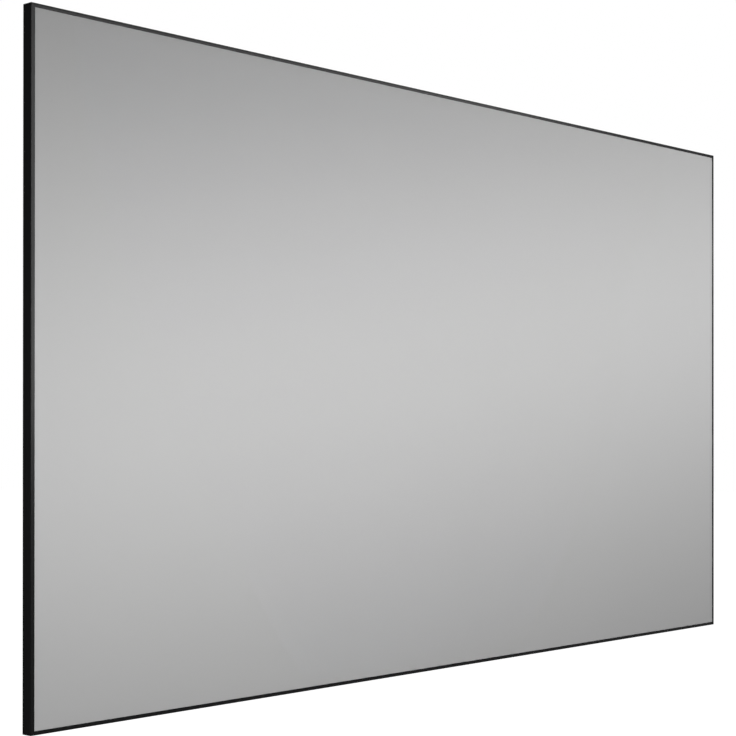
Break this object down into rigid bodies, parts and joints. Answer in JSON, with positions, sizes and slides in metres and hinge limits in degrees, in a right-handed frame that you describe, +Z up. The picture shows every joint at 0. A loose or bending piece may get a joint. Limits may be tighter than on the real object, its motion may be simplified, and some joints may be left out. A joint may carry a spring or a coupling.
{
  "type": "fixed frame projector screen",
  "caption": "Wide flat projection screen with a thin black bezel, a sprung grey sheet, aluminium rails, a centre support bar and wall brackets behind.",
  "frame": {"origin": "middle of the screen, half way between the front of the bezel and the wall", "axes": "+X to the right seen from the front, the sheet faces -Y, the wall is towards +Y, +Z up"},
  "size_m": [2.675, 0.031, 1.512],
  "materials": {
    "bezel_black": "satin black anodised aluminium, fine brushed grain along the edge",
    "rail_aluminium": "mill finish aluminium extrusion with fine die lines",
    "sheet_grey": "matt to satin grey coated projection film with a black back",
    "sleeve_black": "black woven edge band, welded to the sheet",
    "rod_and_springs": "bright zinc plated spring wire on a pale fibreglass rod",
    "plate_steel": "zinc plated steel plate",
    "bracket_black": "black powder coated steel, fine texture",
    "bar_black": "black anodised aluminium",
    "connector_black": "black moulded nylon"
  },
  "bodies": {
    "root": {"projection_sheet": "sheet_grey", "support_bar": "bar_black", "bezel_trim_left": "bezel_black", "frame_rail_left": "rail_aluminium", "tension_rod_left": "rod_and_springs", "bezel_trim_right": "bezel_black", "frame_rail_right": "rail_aluminium", "tension_rod_right": "rod_and_springs", "bezel_trim_top_left": "bezel_black", "frame_rail_top_left": "rail_aluminium", "tension_rod_top_left": "rod_and_springs", "bezel_trim_top_right": "bezel_black", "frame_rail_top_right": "rail_aluminium", "tension_rod_top_right": "rod_and_springs", "bezel_trim_bottom_left": "bezel_black", "frame_rail_bottom_left": "rail_aluminium", "tension_rod_bottom_left": "rod_and_springs", "bezel_trim_bottom_right": "bezel_black", "frame_rail_bottom_right": "rail_aluminium", "tension_rod_bottom_right": "rod_and_springs", "edge_sleeve_left": "sleeve_black", "edge_sleeve_top": "sleeve_black", "edge_sleeve_right": "sleeve_black", "edge_sleeve_bottom": "sleeve_black", "corner_plate_1": "plate_steel", "corner_plate_2": "plate_steel", "corner_plate_3": "plate_steel", "corner_plate_4": "plate_steel", "splice_plate_top": "plate_steel", "bar_connector_top": "connector_black", "splice_plate_bottom": "plate_steel", "bar_connector_bottom": "connector_black", "wall_bracket_top_left": "bracket_black", "wall_bracket_top_right": "bracket_black", "wall_bracket_bottom_left": "bracket_black", "wall_bracket_bottom_right": "bracket_black"}
  },
  "joints": []
}
